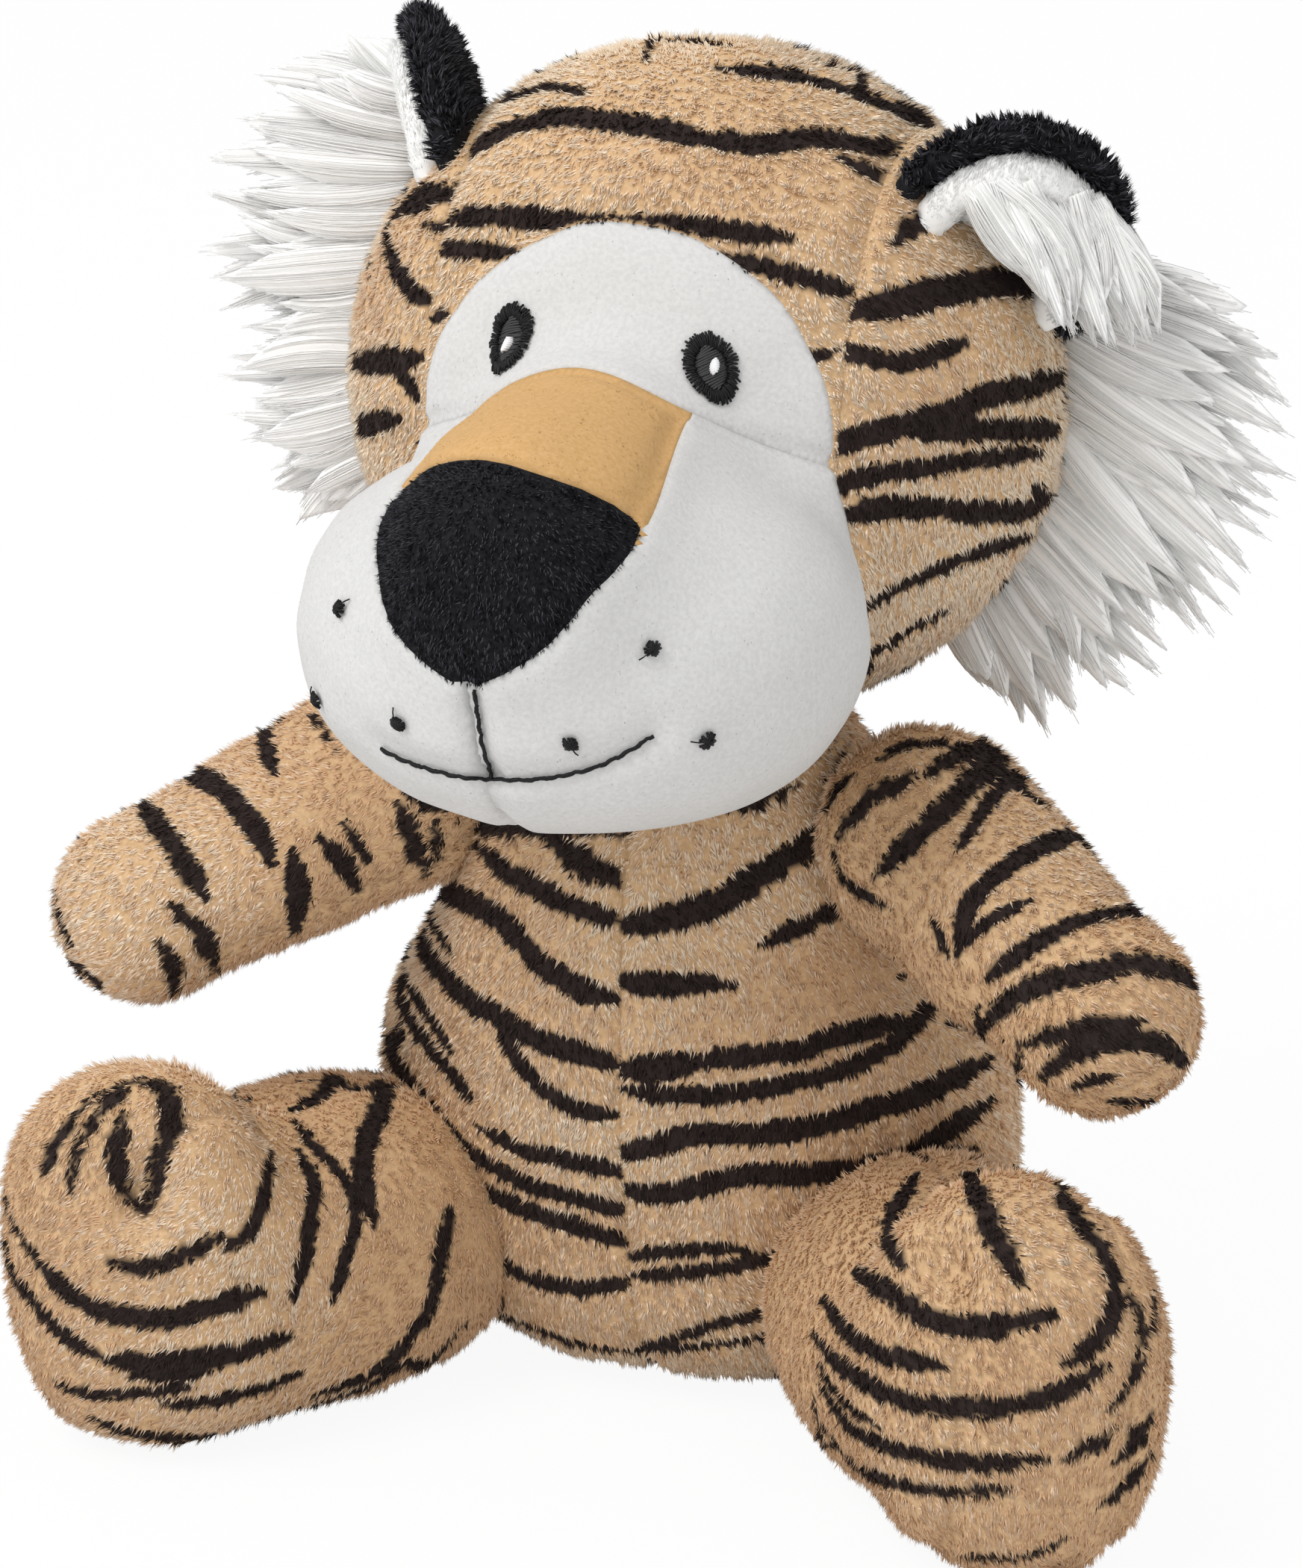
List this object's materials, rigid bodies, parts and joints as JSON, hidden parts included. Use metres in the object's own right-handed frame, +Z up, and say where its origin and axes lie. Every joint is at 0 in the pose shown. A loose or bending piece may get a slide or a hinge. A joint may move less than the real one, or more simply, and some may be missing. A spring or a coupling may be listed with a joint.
{
  "type": "plush tiger",
  "caption": "Seated plush tiger of sewn fabric panels over soft filling, with a white muzzle and mane, whose head, arms, legs and tail flex at their seams.",
  "frame": {"origin": "on the floor, at the middle of the flat seat under the body", "axes": "+Z up, the face looks along -Y, the toy's left is +X"},
  "size_m": [0.1928, 0.1912, 0.2235],
  "materials": {
    "body_front_left": "short tan plush printed with near-black stripes, matte",
    "body_front_right": "short tan plush printed with near-black stripes, matte",
    "body_back_left": "short tan plush printed with near-black stripes, matte",
    "body_back_right": "short tan plush printed with near-black stripes, matte",
    "base_panel": "short tan plush printed with near-black stripes, matte",
    "body_filling": "soft white fibre filling",
    "forehead_panel": "short tan plush printed with near-black stripes, matte",
    "side_panel_left": "short tan plush printed with near-black stripes, matte",
    "side_panel_right": "short tan plush printed with near-black stripes, matte",
    "face_panel": "short white plush, matte",
    "muzzle_left": "short white plush, matte",
    "muzzle_right": "short white plush, matte",
    "nose_bridge": "very short orange-tan plush",
    "nose": "short black plush, matte",
    "head_filling": "soft white fibre filling",
    "ear_left_back": "black curly plush",
    "ear_left_lining": "white plush",
    "ear_right_back": "black curly plush",
    "ear_right_lining": "white plush",
    "mane_left": "long white pile",
    "mane_right": "long white pile",
    "eye_left": "black embroidery thread, slight sheen",
    "eye_right": "black embroidery thread, slight sheen",
    "eye_highlight_left": "white embroidery thread",
    "eye_highlight_right": "white embroidery thread",
    "mouth_stitch": "black embroidery thread, slight sheen",
    "lip_stitch": "black embroidery thread, slight sheen",
    "whisker_dot_left_1": "black embroidery thread, slight sheen",
    "whisker_dot_left_2": "black embroidery thread, slight sheen",
    "whisker_dot_left_3": "black embroidery thread, slight sheen",
    "whisker_dot_right_1": "black embroidery thread, slight sheen",
    "whisker_dot_right_2": "black embroidery thread, slight sheen",
    "whisker_dot_right_3": "black embroidery thread, slight sheen",
    "arm_left_upper_panel": "short tan plush printed with near-black stripes, matte",
    "arm_left_lower_panel": "short tan plush printed with near-black stripes, matte",
    "arm_left_filling": "soft white fibre filling",
    "arm_right_upper_panel": "short tan plush printed with near-black stripes, matte",
    "arm_right_lower_panel": "short tan plush printed with near-black stripes, matte",
    "arm_right_filling": "soft white fibre filling",
    "leg_left_inner_panel": "short tan plush printed with near-black stripes, matte",
    "leg_left_outer_panel": "short tan plush printed with near-black stripes, matte",
    "foot_left_panel": "short tan plush printed with near-black stripes, matte",
    "leg_left_filling": "soft white fibre filling",
    "leg_right_inner_panel": "short tan plush printed with near-black stripes, matte",
    "leg_right_outer_panel": "short tan plush printed with near-black stripes, matte",
    "foot_right_panel": "short tan plush printed with near-black stripes, matte",
    "leg_right_filling": "soft white fibre filling",
    "tail_panel": "short tan plush printed with near-black stripes, matte",
    "tail_filling": "soft white fibre filling"
  },
  "bodies": {
    "trunk": {"body_front_left": "body_front_left", "body_front_right": "body_front_right", "body_back_left": "body_back_left", "body_back_right": "body_back_right", "base_panel": "base_panel", "body_filling": "body_filling"},
    "head": {"forehead_panel": "forehead_panel", "side_panel_left": "side_panel_left", "side_panel_right": "side_panel_right", "face_panel": "face_panel", "muzzle_left": "muzzle_left", "muzzle_right": "muzzle_right", "nose_bridge": "nose_bridge", "nose": "nose", "head_filling": "head_filling", "ear_left_back": "ear_left_back", "ear_left_lining": "ear_left_lining", "ear_right_back": "ear_right_back", "ear_right_lining": "ear_right_lining", "mane_left": "mane_left", "mane_right": "mane_right", "eye_left": "eye_left", "eye_right": "eye_right", "eye_highlight_left": "eye_highlight_left", "eye_highlight_right": "eye_highlight_right", "mouth_stitch": "mouth_stitch", "lip_stitch": "lip_stitch", "whisker_dot_left_1": "whisker_dot_left_1", "whisker_dot_left_2": "whisker_dot_left_2", "whisker_dot_left_3": "whisker_dot_left_3", "whisker_dot_right_1": "whisker_dot_right_1", "whisker_dot_right_2": "whisker_dot_right_2", "whisker_dot_right_3": "whisker_dot_right_3"},
    "arm_left": {"arm_left_upper_panel": "arm_left_upper_panel", "arm_left_lower_panel": "arm_left_lower_panel", "arm_left_filling": "arm_left_filling"},
    "arm_right": {"arm_right_upper_panel": "arm_right_upper_panel", "arm_right_lower_panel": "arm_right_lower_panel", "arm_right_filling": "arm_right_filling"},
    "leg_left": {"leg_left_inner_panel": "leg_left_inner_panel", "leg_left_outer_panel": "leg_left_outer_panel", "foot_left_panel": "foot_left_panel", "leg_left_filling": "leg_left_filling"},
    "leg_right": {"leg_right_inner_panel": "leg_right_inner_panel", "leg_right_outer_panel": "leg_right_outer_panel", "foot_right_panel": "foot_right_panel", "leg_right_filling": "leg_right_filling"},
    "tail": {"tail_panel": "tail_panel", "tail_filling": "tail_filling"}
  },
  "joints": [
    {"name": "neck_turn", "type": "hinge", "parent": "trunk", "child": "head", "pos_m": [0, -0.006, 0.118], "axis": [0, 0, 1], "range_deg": [-15, 15], "stiffness_Nm_per_rad": 0.02},
    {"name": "shoulder_left_lift", "type": "hinge", "parent": "trunk", "child": "arm_left", "pos_m": [0.0451, -0.01976, 0.10089], "axis": [-0.5736, -0.8192, 0], "range_deg": [0, 20], "stiffness_Nm_per_rad": 0.01},
    {"name": "shoulder_right_lift", "type": "hinge", "parent": "trunk", "child": "arm_right", "pos_m": [-0.0451, -0.01976, 0.10089], "axis": [-0.5736, 0.8192, 0], "range_deg": [0, 20], "stiffness_Nm_per_rad": 0.01},
    {"name": "hip_left_splay", "type": "hinge", "parent": "trunk", "child": "leg_left", "pos_m": [0.0473, -0.02812, 0.03304], "axis": [0, 0, 1], "range_deg": [-8, 10], "stiffness_Nm_per_rad": 0.02},
    {"name": "hip_right_splay", "type": "hinge", "parent": "trunk", "child": "leg_right", "pos_m": [-0.0473, -0.02812, 0.03304], "axis": [0, 0, -1], "range_deg": [-8, 10], "stiffness_Nm_per_rad": 0.02},
    {"name": "tail_wag", "type": "hinge", "parent": "trunk", "child": "tail", "pos_m": [0, 0.03724, 0.01475], "axis": [0, 0, 1], "range_deg": [-20, 20], "stiffness_Nm_per_rad": 0.005}
  ]
}
